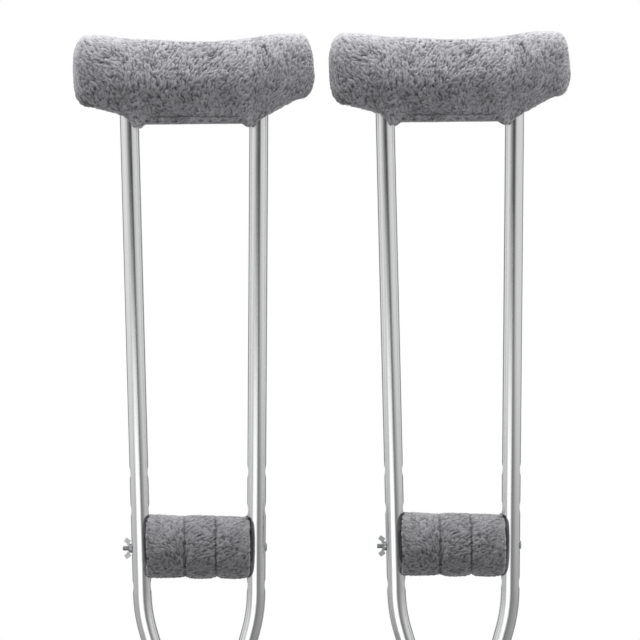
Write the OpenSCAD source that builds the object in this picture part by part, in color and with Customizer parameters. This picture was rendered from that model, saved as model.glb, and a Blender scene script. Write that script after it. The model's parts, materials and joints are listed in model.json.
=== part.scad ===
// A pair of aluminium underarm crutches with plush-covered pads and grips.
// Both crutches are the same assembly: two bent uprights, a padded saddle on top, a bolted
// handgrip between the uprights, and a push-button telescopic leg below them.
// Millimetres. The origin is on the floor midway between the two tips, X runs across the
// pair, the front faces -Y and Z is up. Every sub-part is drawn about its own crutch's axis.

/* [Pair] */
// Gap between the two crutches' pads, side by side
pair_gap = 12; // [8:1:300]

/* [Heights] */
// Height of the handgrip's axis above the floor, leg at rest
grip_height = 796; // [660:1:960]
// Height of the saddle's low point above the handgrip's axis
saddle_above_grip = 504; // [380:1:640]

/* [Uprights] */
// Outer diameter of an upright
tube_d = 19.05; // [16:0.05:22]
// Wall of an upright
tube_wall = 1.2; // [1:0.1:2]
// Distance between the uprights' centre lines at the handgrip
grip_spacing = 115.6; // [96:0.1:140]
// Outward lean of each upright above its bends, in degrees
lean = 0.9; // [0:0.05:2]
// Centre-line radius of the bends
bend_r = 150; // [140:5:230]
// Angle of the slanting stretch between the bends, in degrees
bend_angle = 16; // [14:1:22]
// Straight tube between the lowest grip hole and the bend
bend_margin = 8; // [8:1:30]
// Length of the parallel stretch beside the sleeve
lap_length = 110; // [100:1:160]

/* [Grip holes] */
// Diameter of the grip holes
grip_hole_d = 5.4; // [5.2:0.1:6.4]
// Distance from one grip hole to the next
grip_hole_pitch = 38.1; // [28:0.1:50]
// Spare grip holes above the grip
holes_above = 2; // [0:1:4]
// Spare grip holes below the grip
holes_below = 1; // [0:1:2]
// Radius of the pressed dimple round each hole
dimple_r = 14; // [12:0.5:18]
// Depth of the dimple
dimple_depth = 1.7; // [1:0.1:2.2]

/* [Underarm pad] */
// Length of the pad over its cover
pad_length = 243; // [203:1:285]
// Front-to-back width of the pad over its cover
pad_width = 68; // [60:1:90]
// Radius of the saddle's hollow top
saddle_r = 620; // [450:10:900]
// Depth from the saddle's low point to the underside of the pad's ends
end_drop = 58; // [52:1:64]
// Depth from the saddle's low point to the belly between the uprights
belly_drop = 80.5; // [74:0.5:96]
// Corner radius at the ends of the pad
end_r = 16; // [14:1:20]
// Drop of the sloping underside from its end corner to the upright
belly_fall = 13.7; // [8:0.1:16]
// Radius of the pad's long edges
pad_edge_r = 20.4; // [16:0.1:24]
// Thickness of the plush cover
cover_t = 9; // [6:0.5:12]
// Thickness of the foam above the core
foam_top = 20; // [14:1:26]
// Thickness of the foam at the sides of the core
foam_side = 10; // [6:1:12]
// Thickness of the foam at the ends of the core
foam_end = 14; // [8:1:20]
// Distance of the saddle rivets below the uprights' tops
saddle_rivet_drop = 14; // [10:1:18]
// Wall of the hollow core
core_wall = 3; // [2:0.5:4]
// Thickness of the closure flap
flap_t = 4.5; // [2:0.5:6]

/* [Handgrip] */
// Diameter of the through bolt
bolt_d = 5; // [4:0.5:5]
// Outer diameter of the spacer tube round the bolt
liner_d = 12; // [9:0.5:14]
// Outer diameter of the foam grip
grip_foam_d = 38; // [30:1:44]
// Outer diameter of the plush wrap
grip_cover_d = 62; // [50:1:70]
// How far the wrap's ends reach beside the uprights
grip_overlap = 3.5; // [0:0.5:6]
// Width of the closure strip on the wrap
grip_strip_w = 22; // [12:1:30]

/* [Wing nut] */
// Height of the hub
nut_h = 3; // [3:0.5:8]
// Diameter of the hub at its base
nut_hub_d = 10; // [8.5:0.5:12]
// Distance from the bolt's axis to the middle of each wing's outer edge
wing_reach = 9; // [8.5:0.1:13]
// Height of that middle above the nut's base
wing_rise = 7; // [7:0.1:10]
// Width of each wing
wing_w = 4.6; // [4:0.1:4.6]
// Length of each wing's flat
wing_l = 5.8; // [4:0.1:5.8]
// Radius of the wings' corners
wing_corner_r = 0.7; // [0.4:0.1:1.6]
// Thickness of the wings
wing_t = 1.8; // [1.5:0.1:3]
// Tilt of the wings away from the upright, in degrees
wing_tilt = 55; // [45:1:55]
// Bolt thread that stands out of the nut
bolt_end = 6.5; // [1:0.5:10]

/* [Leg] */
// Outer diameter of the sleeve
sleeve_d = 25.4; // [22:0.1:30]
// Wall of the sleeve
sleeve_wall = 1.4; // [1.2:0.1:2]
// Wall of the leg tube
leg_wall = 1.4; // [1:0.1:2]
// Number of adjustment holes in the sleeve
adjust_holes = 7; // [5:1:9]
// Distance from one adjustment hole to the next
adjust_pitch = 25.4; // [20:0.1:26]
// The hole the button sits in, counted from the lowest
button_hole = 3; // [1:1:4]
// Diameter of the snap button
button_d = 7; // [5:0.5:8]
// How far the button stands out of the sleeve
button_out = 3; // [2:0.5:4]
// Sleeve below its lowest adjustment hole
sleeve_margin = 30; // [25:1:50]
// Leg tube above its button
leg_above_button = 35; // [25:1:60]
// Gap between an upright and the sleeve, filled by the spacers
spacer_gap = 2.5; // [1.5:0.1:5]
// Diameter of the rivets
rivet_d = 4.8; // [4:0.1:6]
// Distance of the lower rivet above the uprights' lower ends
rivet_rise = 52; // [40:1:60]
// Distance from one rivet to the other
rivet_pitch = 46; // [30:1:48]
// Sleeve above the parallel stretch of the uprights
sleeve_above_lap = 30; // [12:1:60]

/* [Rubber tip] */
// Diameter of the tip's foot
tip_d = 48; // [40:1:60]
// Height of the tip
tip_h = 52; // [40:1:70]
// Rubber under the leg
tip_floor = 12; // [9:1:20]
// Rubber wall round the leg
tip_wall = 4.5; // [3:0.5:7]

/* [Hidden] */
$fn = 72;
// Clearances: running fits, loose holes, and soft parts from what they cover
run = 0.05;
loose = 0.1;
soft = 0.3;
// How far a cutting solid reaches past the face it cuts
past = 1;

tube_r = tube_d / 2;
crutch_spacing = pad_length + pair_gap;
half_grip = grip_spacing / 2;
rivet_r = rivet_d / 2;
rivet_head_r = rivet_r * 1.9;
rivet_head_h = rivet_r * 0.7;
// A bend's wall is drawn a little thin, and its ends lap inside the straight stretches
bend_thin = 0.03;
bend_lap = 0.5;

// Uprights: distances along the leaning stretch are measured from the grip's axis
lean_down = holes_below * grip_hole_pitch + bend_margin;
upper_bend_x = half_grip - lean_down * sin(lean);
upper_bend_z = grip_height - lean_down * cos(lean);
slant_top_x = upper_bend_x - bend_r * (cos(lean) - cos(bend_angle));
slant_top_z = upper_bend_z - bend_r * (sin(bend_angle) - sin(lean));
lap_x = tube_r + sleeve_d / 2 + spacer_gap;
slant_low_x = lap_x + bend_r * (1 - cos(bend_angle));
slant_length = (slant_top_x - slant_low_x) / sin(bend_angle);
slant_low_z = slant_top_z - slant_length * cos(bend_angle);
lap_top = slant_low_z - bend_r * sin(bend_angle);
lap_bottom = lap_top - lap_length;
hole_steps = [for (i = [-holes_below:holes_above]) i * grip_hole_pitch];
dimple_x = tube_r + dimple_r - dimple_depth;
dimple_floor = half_grip + tube_r - dimple_depth;

// Underarm pad, from the saddle's low point down
saddle_z = grip_height + saddle_above_grip;
belly_z = saddle_z - belly_drop + flap_t;
cushion_inset = cover_t + soft;
core_width = pad_width - 2 * (cushion_inset + foam_side);
core_half = pad_length / 2 - cushion_inset - foam_end;
core_top = saddle_z - cushion_inset - foam_top;
core_bottom = belly_z + cushion_inset;
upright_top = core_top - core_wall;
lean_length = lean_down + (upright_top - grip_height) / cos(lean);
saddle_rivet_z = upright_top - saddle_rivet_drop;
head_recess = 2.2;
socket_wall = 4;
flap_short = 2;
flap_width = 48;
slit_short = 2;
slit_width = 16;

// Handgrip and its bolt
grip_half = half_grip - tube_r;
seat_gap = 0.2;
washer_out = 1;
washer_face = dimple_floor + washer_out;
bolt_r = bolt_d / 2;
bolt_head_r = bolt_d;
bolt_head_h = 2;
bolt_socket_d = 3;
grip_foam_r = grip_foam_d / 2;
grip_cover_r = grip_cover_d / 2;
foam_short = 1.3;
strip_t = 2;
strip_half = grip_half - 3;
web_w = 4.4;
web_foot = 0.6;

// Sleeve and leg, from the lower rivet down
sleeve_r = sleeve_d / 2;
sleeve_bore_r = sleeve_r - sleeve_wall;
leg_r = sleeve_bore_r - soft;
leg_bore_r = leg_r - leg_wall;
bush_flange = 4;
bush_shank = 15;
rivet_low_z = lap_bottom + rivet_rise;
rivet_zs = [rivet_low_z, rivet_low_z + rivet_pitch];
spacer_h = 16;
spacer_w = 14;
leg_stop_gap = 5;
top_hole_z = rivet_low_z - rivet_r - leg_stop_gap - bush_flange - leg_above_button;
low_hole_z = top_hole_z - (adjust_holes - 1) * adjust_pitch;
sleeve_bottom = low_hole_z - sleeve_margin;
sleeve_top = lap_top + sleeve_above_lap;
plug_shank = 14;
plug_flange = 2;
plug_dome = 3;
collar_wall = 2.4;
collar_cup = 18;
collar_lip = 6;
collar_edge = 1.2;

// Snap button, whose axis is along Y
button_z = low_hole_z + (button_hole - 1) * adjust_pitch;
button_r = button_d / 2;
button_dome = 1.4;
button_flange_r = button_r + 1.1;
button_flange_t = 1.2;
button_front = sleeve_r + button_out;
button_back = sqrt(leg_bore_r * leg_bore_r - button_flange_r * button_flange_r) - loose;
spring_w = 9;
spring_t = 0.8;
spring_drop = 42;
spring_rise = 6;

// Leg and tip
leg_top = button_z + leg_above_button;
tip_washer_t = 2;
tip_washer_hole_r = 3;
leg_bottom = tip_floor + tip_washer_t;
tip_r = tip_d / 2;
tip_neck_r = leg_r + tip_wall;
tip_rim = 5;
tip_bell_h = 25;
tip_hollow = 2;

// Colours
metal = "#c6c8cb";
steel = "#9fa2a6";
plush = "#77747a";
dark_plush = "#5f5d62";
grey_plastic = "#8b8d90";
black_plastic = "#2a2b2d";
foam = "#4a4a4d";
rubber = "#6a6b6d";

PART_NAMES = [
    "nut_side_upright", "head_side_upright", "saddle_core", "saddle_rivets",
    "underarm_cushion", "underarm_cover", "underarm_cover_closure",
    "grip_liner", "grip_foam", "grip_cover", "grip_cover_closure", "grip_bolt",
    "head_washer", "nut_washer", "wing_nut",
    "leg_sleeve", "rivet_spacers", "sleeve_rivets", "sleeve_top_cap",
    "upright_end_plugs", "sleeve_collar",
    "leg_tube", "leg_bush", "snap_spring", "snap_button", "rubber_tip", "tip_washer"
];
SIDES = ["left_", "right_"];

// ---------- shapes that repeat ----------

// The ring-shaped section of a tube
module ring(outer_r, inner_r) {
    difference() {
        circle(r = outer_r);
        circle(r = inner_r);
    }
}

// A straight tube from one height to another
module pipe(outer_r, inner_r, from, to) {
    translate([0, 0, from]) linear_extrude(to - from) ring(outer_r, inner_r);
}

// A bend of an upright that starts at the origin going up and curves towards +X
module tube_bend(angle) {
    lap_angle = bend_lap / bend_r * 180 / PI;
    translate([bend_r, 0, 0])
        mirror([1, 0, 0])
            rotate([90, lap_angle, 0])
                rotate_extrude(angle = angle + 2 * lap_angle)
                    translate([bend_r, 0])
                        ring(tube_r - bend_thin, tube_r - tube_wall + bend_thin);
}

// A cylinder along X, centred on the origin
module x_rod(r, length) {
    rotate([0, 90, 0]) cylinder(r = r, h = length, center = true);
}

// A cylinder along Y, centred on the origin
module y_rod(r, length) {
    rotate([90, 0, 0]) cylinder(r = r, h = length, center = true);
}

// A low dome that stands on the XY plane
module dome(r, h) {
    ball_r = (r * r + h * h) / (2 * h);
    intersection() {
        translate([0, 0, h - ball_r]) sphere(r = ball_r);
        cylinder(r = r, h = h);
    }
}

// A rivet along X with a domed head at each end, sized by what it grips
module rivet(grip) {
    x_rod(rivet_r, grip);
    for (turn = [0, 180])
        rotate([0, 0, turn])
            translate([grip / 2, 0, 0])
                rotate([0, 90, 0]) dome(rivet_head_r, rivet_head_h);
}

// Both sides of a crutch: the children as they are, and mirrored
module both_sides() {
    children();
    mirror([1, 0, 0]) children();
}

// Points of an arc, its angles in degrees, leaving out the first when skip is 1
function arc(cx, cy, r, from, to, steps, skip = 0) = [
    for (i = [skip:steps])
        let (a = from + (to - from) * i / steps)
        [cx + r * cos(a), cy + r * sin(a)]
];

// An outline symmetric about X = 0, from the points of its +X half
function both_halves(points) = concat(
    points,
    [for (i = [len(points) - 1:-1:1]) [-points[i][0], points[i][1]]]
);

// X of the +X upright's centre line at a height on its leaning stretch
function upright_x(z) = half_grip + (z - grip_height) * tan(lean);

// ---------- uprights ----------

// Frame of the +X upright's leaning stretch: the origin is on it, at the grip's axis
module leaning() {
    translate([half_grip, 0, grip_height]) rotate([0, lean, 0]) children();
}

// The dimples' spheres at every grip hole, on both flanks of the tube
module dimple_balls(r) {
    for (z = hole_steps)
        for (side = [-1, 1])
            translate([side * dimple_x, 0, z]) sphere(r = r);
}

// The leaning stretch: dimpled, with the wall carried round each dimple, and drilled level
module leaning_tube() {
    difference() {
        translate([0, 0, -lean_down]) cylinder(r = tube_r, h = lean_length);
        dimple_balls(dimple_r);
        difference() {
            translate([0, 0, -lean_down - past])
                cylinder(r = tube_r - tube_wall, h = lean_length + 2 * past);
            dimple_balls(dimple_r + tube_wall);
        }
        for (z = hole_steps)
            translate([0, 0, z]) rotate([0, -lean, 0]) x_rod(grip_hole_d / 2, tube_d + 2 * past);
    }
}

// The +X upright, from its lower end through two bends to its top in the pad
module upright() {
    color(metal)
        difference() {
            union() {
                translate([lap_x, 0, 0]) pipe(tube_r, tube_r - tube_wall, lap_bottom, lap_top);
                translate([lap_x, 0, lap_top]) tube_bend(bend_angle);
                translate([slant_low_x, 0, slant_low_z])
                    rotate([0, bend_angle, 0]) pipe(tube_r, tube_r - tube_wall, 0, slant_length);
                leaning()
                    translate([0, 0, -lean_down])
                        rotate([0, 180, 0]) tube_bend(bend_angle - lean);
                leaning() leaning_tube();
            }
            for (z = rivet_zs)
                translate([lap_x, 0, z]) x_rod(rivet_r + loose, tube_d + 2 * past);
            translate([upright_x(saddle_rivet_z), 0, saddle_rivet_z])
                y_rod(rivet_r + loose, tube_d + 2 * past);
        }
}

module head_side_upright() {
    upright();
}

module nut_side_upright() {
    mirror([1, 0, 0]) upright();
}

// The room that both uprights take above their bends, with a gap round them
module upright_room(gap) {
    both_sides()
        leaning()
            translate([0, 0, -lean_down])
                cylinder(r = tube_r + gap, h = lean_length);
}

// ---------- underarm pad ----------

// Centres of the two corner arcs at the +X end, shared by every layer of the pad
saddle_turn = asin((pad_length / 2 - end_r) / (saddle_r + end_r));
top_corner_x = pad_length / 2 - end_r;
top_corner_z = saddle_z + saddle_r - (saddle_r + end_r) * cos(saddle_turn);
low_corner_z = saddle_z - end_drop + end_r;
belly_slope = atan(belly_fall / (top_corner_x - half_grip));
pad_peak = top_corner_z + end_r;

// Height of the sloping underside, for a layer that lies inset from the cover's face
function underside_z(x, inset) =
    low_corner_z - (end_r - inset) / cos(belly_slope) - (top_corner_x - x) * tan(belly_slope);

// Outline of a pad layer, inset from the cover's face, down to its belly
function pad_outline(inset, belly) = both_halves(concat(
    arc(0, saddle_z + saddle_r, saddle_r + inset, -90, -90 + saddle_turn, 8),
    arc(top_corner_x, top_corner_z, end_r - inset, 90 + saddle_turn, 0, 6, 1),
    arc(top_corner_x, low_corner_z, end_r - inset, 0, -90 + belly_slope, 6),
    [[half_grip, underside_z(half_grip, inset)], [half_grip, belly]]
));

// A square with round corners between two heights, in the YZ plane
module rounded_section(width, low, high, r) {
    for (side = [-1, 1])
        for (z = [low + r, high - r])
            translate([side * (width / 2 - r), z]) circle(r = r);
    translate([-width / 2, low + r]) square([width, high - low - 2 * r]);
    translate([-width / 2 + r, low]) square([width - 2 * r, high - low]);
}

// An outline in the XZ plane, extruded evenly to front and back
module extruded(width) {
    translate([0, width / 2, 0]) rotate([90, 0, 0]) linear_extrude(width) children();
}

// A pad layer with its long edges rounded
module pad_layer(inset, belly) {
    width = pad_width - 2 * inset;
    intersection() {
        extruded(width) polygon(pad_outline(inset, belly));
        rotate([90, 0, 90])
            translate([0, 0, -pad_length / 2])
                linear_extrude(pad_length)
                    rounded_section(width, belly, pad_peak - inset, pad_edge_r - inset);
    }
}

// The core's outline: hollow top, square ends and the pad's own underside
function core_outline(gap) = both_halves(concat(
    arc(0, core_top + saddle_r + gap, saddle_r, -90, -90 + asin((core_half + gap) / saddle_r), 8),
    [
        [core_half + gap, underside_z(core_half, cushion_inset)],
        [half_grip, underside_z(half_grip, cushion_inset)],
        [half_grip, core_bottom]
    ]
));

module saddle_core() {
    pocket_w = core_width - 2 * core_wall;
    pocket_top = core_top - core_wall;
    pocket_low = core_bottom - past;
    socket_wall_r = tube_r + socket_wall;
    color(grey_plastic)
        difference() {
            extruded(core_width) polygon(core_outline(0));
            both_sides()
                leaning()
                    translate([0, 0, -lean_down])
                        cylinder(r = tube_r + loose, h = lean_length + loose);
            translate([-half_grip + socket_wall_r, -pocket_w / 2, pocket_low])
                cube([2 * (half_grip - socket_wall_r), pocket_w, pocket_top - pocket_low]);
            both_sides()
                translate([upright_x(core_top) + socket_wall_r, -pocket_w / 2, pocket_low])
                    cube([core_half - core_wall - upright_x(core_top) - socket_wall_r,
                          pocket_w, pocket_top - pocket_low]);
            both_sides()
                translate([upright_x(saddle_rivet_z), 0, saddle_rivet_z]) {
                    y_rod(rivet_r + loose, core_width + 2 * past);
                    for (side = [-1, 1])
                        translate([0, side * core_width / 2, 0])
                            y_rod(rivet_head_r + soft, 2 * head_recess);
                }
        }
}

module saddle_rivets() {
    color(steel)
        both_sides()
            translate([upright_x(saddle_rivet_z), 0, saddle_rivet_z])
                rotate([0, 0, 90]) rivet(core_width - 2 * head_recess);
}

module underarm_cushion() {
    color(foam)
        difference() {
            pad_layer(cushion_inset, core_bottom);
            extruded(core_width + 2 * soft) polygon(core_outline(soft));
            translate([-half_grip, -core_width / 2 - soft, core_bottom - past])
                cube([2 * half_grip, core_width + 2 * soft, 2 * past]);
        }
}

module underarm_cover() {
    slit_half = half_grip - tube_r - slit_short;
    color(plush)
        difference() {
            pad_layer(0, belly_z);
            pad_layer(cover_t, belly_z + cover_t);
            upright_room(soft);
            translate([-slit_half, -slit_width / 2, belly_z - past])
                cube([2 * slit_half, slit_width, cover_t + 2 * past]);
        }
}

module underarm_cover_closure() {
    flap_half = half_grip - flap_short;
    color(dark_plush)
        difference() {
            translate([-flap_half, -flap_width / 2, belly_z - flap_t])
                cube([2 * flap_half, flap_width, flap_t]);
            upright_room(2 * soft);
        }
}

// ---------- handgrip ----------

// Moves its children to the grip's axis
module at_grip() {
    translate([0, 0, grip_height]) children();
}

module grip_liner() {
    color(grey_plastic)
        at_grip()
            difference() {
                x_rod(liner_d / 2, 2 * (grip_half - seat_gap));
                x_rod(bolt_r + soft, 2 * grip_half);
            }
}

module grip_foam() {
    color(foam)
        at_grip()
            difference() {
                x_rod(grip_foam_r, 2 * (grip_half - foam_short));
                x_rod(liner_d / 2 + loose, 2 * grip_half);
            }
}

// The closure strip's room in the wrap's back, with a gap round it
module strip_room(gap) {
    intersection() {
        difference() {
            x_rod(grip_cover_r, 2 * (strip_half + gap));
            x_rod(grip_cover_r - strip_t - gap, 2 * grip_half);
        }
        translate([-grip_half, 0, -grip_strip_w / 2 - gap])
            cube([2 * grip_half, grip_cover_r, grip_strip_w + 2 * gap]);
    }
}

module grip_cover() {
    color(plush)
        difference() {
            at_grip() x_rod(grip_cover_r, 2 * (grip_half + grip_overlap));
            at_grip() x_rod(grip_foam_r + soft, 2 * half_grip);
            at_grip() strip_room(loose);
            upright_room(2 * soft);
        }
}

module grip_cover_closure() {
    color(dark_plush) at_grip() strip_room(0);
}

module grip_bolt() {
    tail = washer_face + nut_h + bolt_end;
    color(steel)
        at_grip()
            difference() {
                union() {
                    translate([-tail, 0, 0])
                        rotate([0, 90, 0]) cylinder(r = bolt_r, h = tail + washer_face);
                    translate([washer_face, 0, 0])
                        rotate([0, 90, 0]) dome(bolt_head_r, bolt_head_h);
                }
                translate([washer_face + bolt_head_h, 0, 0])
                    rotate([0, 90, 0])
                        cylinder(d = bolt_socket_d, h = bolt_head_h, center = true, $fn = 6);
            }
}

// A cupped washer in the +X upright's outer dimple
module cup_washer() {
    color(steel)
        difference() {
            intersection() {
                leaning()
                    translate([dimple_x, 0, 0]) sphere(r = dimple_r - seat_gap, $fn = 240);
                at_grip()
                    translate([half_grip, -tube_r, -tube_r])
                        cube([washer_face - half_grip, tube_d, tube_d]);
            }
            at_grip() x_rod(bolt_r + seat_gap, 2 * washer_face + 2 * past);
        }
}

module head_washer() {
    cup_washer();
}

module nut_washer() {
    mirror([1, 0, 0]) cup_washer();
}

// A rectangle with round corners that runs along X from the origin, centred on Y
module rounded_flat(length, width, r) {
    for (x = [r, length - r])
        for (y = [r - width / 2, width / 2 - r])
            translate([x, y]) circle(r = r);
    translate([r, -width / 2]) square([length - 2 * r, width]);
    translate([0, r - width / 2]) square([length, width - 2 * r]);
}

// One wing of the nut and the web that joins it to the hub: X is out from the bolt's axis and
// Y along it, away from the upright
module wing_outline() {
    along = [cos(wing_tilt), sin(wing_tilt)];
    across = [sin(wing_tilt), -cos(wing_tilt)];
    middle = [wing_reach, wing_rise] - along * wing_l / 2;
    translate([wing_reach, wing_rise])
        rotate(wing_tilt + 180) rounded_flat(wing_l, wing_w, wing_corner_r);
    polygon([
        [0, web_foot], middle + across * web_w / 2,
        middle - across * web_w / 2, [0, nut_h]
    ]);
}

module wing_nut() {
    color(steel)
        at_grip()
            translate([-washer_face - loose, 0, 0])
                rotate([0, -90, 0])
                    difference() {
                        union() {
                            cylinder(r1 = nut_hub_d / 2, r2 = nut_hub_d / 2 - 1, h = nut_h);
                            for (turn = [0, 180])
                                rotate([90, 0, turn])
                                    translate([0, 0, -wing_t / 2])
                                        linear_extrude(wing_t) wing_outline();
                        }
                        translate([0, 0, -past])
                            cylinder(r = bolt_r + run, h = nut_h + wing_reach + 2 * past);
                    }
}

// ---------- sleeve ----------

module leg_sleeve() {
    color(metal)
        difference() {
            pipe(sleeve_r, sleeve_bore_r, sleeve_bottom, sleeve_top);
            for (i = [0:adjust_holes - 1])
                translate([0, -sleeve_r, low_hole_z + i * adjust_pitch])
                    y_rod(button_r + loose, sleeve_r);
            for (z = rivet_zs)
                translate([0, 0, z]) x_rod(rivet_r + loose, sleeve_d + 2 * past);
        }
}

module rivet_spacers() {
    color(black_plastic)
        both_sides()
            for (z = rivet_zs)
                difference() {
                    translate([0, -spacer_w / 2, z - spacer_h / 2])
                        cube([lap_x, spacer_w, spacer_h]);
                    cylinder(r = sleeve_r + run, h = sleeve_top + past);
                    translate([lap_x, 0, 0]) cylinder(r = tube_r + run, h = sleeve_top + past);
                    translate([0, 0, z]) x_rod(rivet_r + loose, 2 * lap_x);
                }
}

module sleeve_rivets() {
    color(steel)
        for (z = rivet_zs)
            translate([0, 0, z]) rivet(2 * (lap_x + tube_r));
}

// A plug in a tube's upper end: shank, flange and low dome
module tube_plug(outer_r, bore_r) {
    translate([0, 0, -plug_shank]) cylinder(r = bore_r - run, h = plug_shank);
    cylinder(r = outer_r, h = plug_flange);
    translate([0, 0, plug_flange]) dome(outer_r, plug_dome);
}

module sleeve_top_cap() {
    color(black_plastic) translate([0, 0, sleeve_top]) tube_plug(sleeve_r, sleeve_bore_r);
}

module upright_end_plugs() {
    color(black_plastic)
        both_sides()
            translate([lap_x, 0, lap_bottom])
                rotate([180, 0, 0]) tube_plug(tube_r, tube_r - tube_wall);
}

module sleeve_collar() {
    outer = sleeve_r + collar_wall;
    color(black_plastic)
        translate([0, 0, sleeve_bottom])
            rotate_extrude()
                polygon([
                    [leg_r + run, -collar_lip],
                    [outer - collar_edge, -collar_lip],
                    [outer, collar_edge - collar_lip],
                    [outer, collar_cup - collar_edge],
                    [outer - collar_edge, collar_cup],
                    [sleeve_r + run, collar_cup],
                    [sleeve_r + run, 0],
                    [leg_r + run, 0]
                ]);
}

// ---------- leg ----------

module leg_tube() {
    color(metal)
        difference() {
            pipe(leg_r, leg_bore_r, leg_bottom, leg_top);
            translate([0, -leg_r, button_z]) y_rod(button_r + run, leg_r);
        }
}

module leg_bush() {
    color(grey_plastic)
        translate([0, 0, leg_top])
            difference() {
                union() {
                    translate([0, 0, -bush_shank]) cylinder(r = leg_bore_r - run, h = bush_shank);
                    cylinder(r = sleeve_bore_r - run, h = bush_flange);
                }
                translate([0, 0, -bush_shank - past])
                    cylinder(r = leg_bore_r / 2, h = bush_shank + bush_flange + 2 * past);
            }
}

// Two leaves that spread from a fold below the button: one on its flange, one on the wall
module snap_spring() {
    fold_z = button_z - spring_drop;
    top_z = button_z + spring_rise;
    front = -button_back + button_flange_t;
    back = sqrt(leg_bore_r * leg_bore_r - spring_w * spring_w / 4) - loose;
    color(steel)
        translate([-spring_w / 2, 0, 0])
            rotate([90, 0, 90])
                linear_extrude(spring_w)
                    polygon([
                        [front, top_z], [0, fold_z], [2 * spring_t, fold_z], [back, top_z],
                        [back - spring_t, top_z], [spring_t, fold_z + 2 * spring_t],
                        [front + spring_t, top_z]
                    ]);
}

module snap_button() {
    color(steel)
        translate([0, -button_back + button_flange_t, button_z])
            rotate([90, 0, 0]) {
                cylinder(r = button_flange_r, h = button_flange_t);
                cylinder(r = button_r, h = button_front - button_back + button_flange_t - button_dome);
                translate([0, 0, button_front - button_back + button_flange_t - button_dome])
                    dome(button_r, button_dome);
            }
}

// ---------- rubber tip ----------

module rubber_tip() {
    chamfer = 1;
    color(rubber)
        rotate_extrude()
            polygon(concat(
                [
                    [0, tip_floor], [0, tip_hollow], [tip_r / 3 - tip_hollow, tip_hollow],
                    [tip_r / 3, 0], [tip_r - chamfer, 0], [tip_r, chamfer]
                ],
                [for (a = [0:11.25:90])
                    [tip_r - (tip_r - tip_neck_r) * sin(a), tip_rim + tip_bell_h * (1 - cos(a))]],
                [
                    [tip_neck_r, tip_h - chamfer], [tip_neck_r - chamfer, tip_h],
                    [leg_r + run, tip_h], [leg_r + run, tip_floor]
                ]
            ));
}

module tip_washer() {
    color(steel)
        pipe(leg_r - run, tip_washer_hole_r, tip_floor, tip_floor + tip_washer_t);
}

// ---------- the pair ----------

for (side = SIDES)
    translate([side == SIDES[0] ? -crutch_spacing / 2 : crutch_spacing / 2, 0, 0]) {
        nut_side_upright();
        head_side_upright();
        saddle_core();
        saddle_rivets();
        underarm_cushion();
        underarm_cover();
        underarm_cover_closure();
        grip_liner();
        grip_foam();
        grip_cover();
        grip_cover_closure();
        grip_bolt();
        head_washer();
        nut_washer();
        wing_nut();
        leg_sleeve();
        rivet_spacers();
        sleeve_rivets();
        sleeve_top_cap();
        upright_end_plugs();
        sleeve_collar();
        leg_tube();
        leg_bush();
        snap_spring();
        snap_button();
        rubber_tip();
        tip_washer();
    }
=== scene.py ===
"""Looks of a pair of aluminium underarm crutches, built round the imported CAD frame.

Lengths are in metres. Every soft piece is made once, about the crutch's own axis, and shown on
both crutches. The pile of the plush is real geometry: a field of small leaning tufts that
displaces a fine grid.
"""
import json
import math

import bpy
import numpy as np
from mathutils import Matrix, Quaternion, Vector


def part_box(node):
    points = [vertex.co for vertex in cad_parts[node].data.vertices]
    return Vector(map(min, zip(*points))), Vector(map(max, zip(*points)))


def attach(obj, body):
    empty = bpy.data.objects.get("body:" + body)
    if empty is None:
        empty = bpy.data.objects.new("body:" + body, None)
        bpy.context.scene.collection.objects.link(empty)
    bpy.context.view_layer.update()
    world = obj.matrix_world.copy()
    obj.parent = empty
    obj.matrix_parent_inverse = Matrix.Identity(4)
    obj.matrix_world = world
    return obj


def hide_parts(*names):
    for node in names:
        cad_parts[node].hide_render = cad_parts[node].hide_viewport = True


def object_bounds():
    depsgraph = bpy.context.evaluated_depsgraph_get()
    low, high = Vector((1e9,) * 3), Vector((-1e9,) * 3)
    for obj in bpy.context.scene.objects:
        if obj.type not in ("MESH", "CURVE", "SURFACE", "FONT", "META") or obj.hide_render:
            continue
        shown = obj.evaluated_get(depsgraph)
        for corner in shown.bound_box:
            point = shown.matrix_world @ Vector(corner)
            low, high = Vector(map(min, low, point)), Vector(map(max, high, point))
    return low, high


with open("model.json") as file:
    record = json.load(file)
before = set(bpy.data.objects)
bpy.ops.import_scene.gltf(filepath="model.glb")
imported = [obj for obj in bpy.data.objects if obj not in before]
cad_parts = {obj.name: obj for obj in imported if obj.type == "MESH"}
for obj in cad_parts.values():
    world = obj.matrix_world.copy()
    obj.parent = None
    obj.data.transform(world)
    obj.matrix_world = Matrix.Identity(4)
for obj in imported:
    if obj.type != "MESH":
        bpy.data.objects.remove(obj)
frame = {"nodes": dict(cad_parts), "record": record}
CAD_LOW, CAD_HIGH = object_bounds()

# ---------- places and sizes, from the frame ----------

SIDES = ("left", "right")
MM = 0.001
nodes = frame["nodes"]
mounts = {m["name"]: m for m in frame["record"]["mounts"]}


def centre(node):
    """The middle of a CAD node's box at rest."""
    low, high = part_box(node)
    return (low + high) / 2


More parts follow.
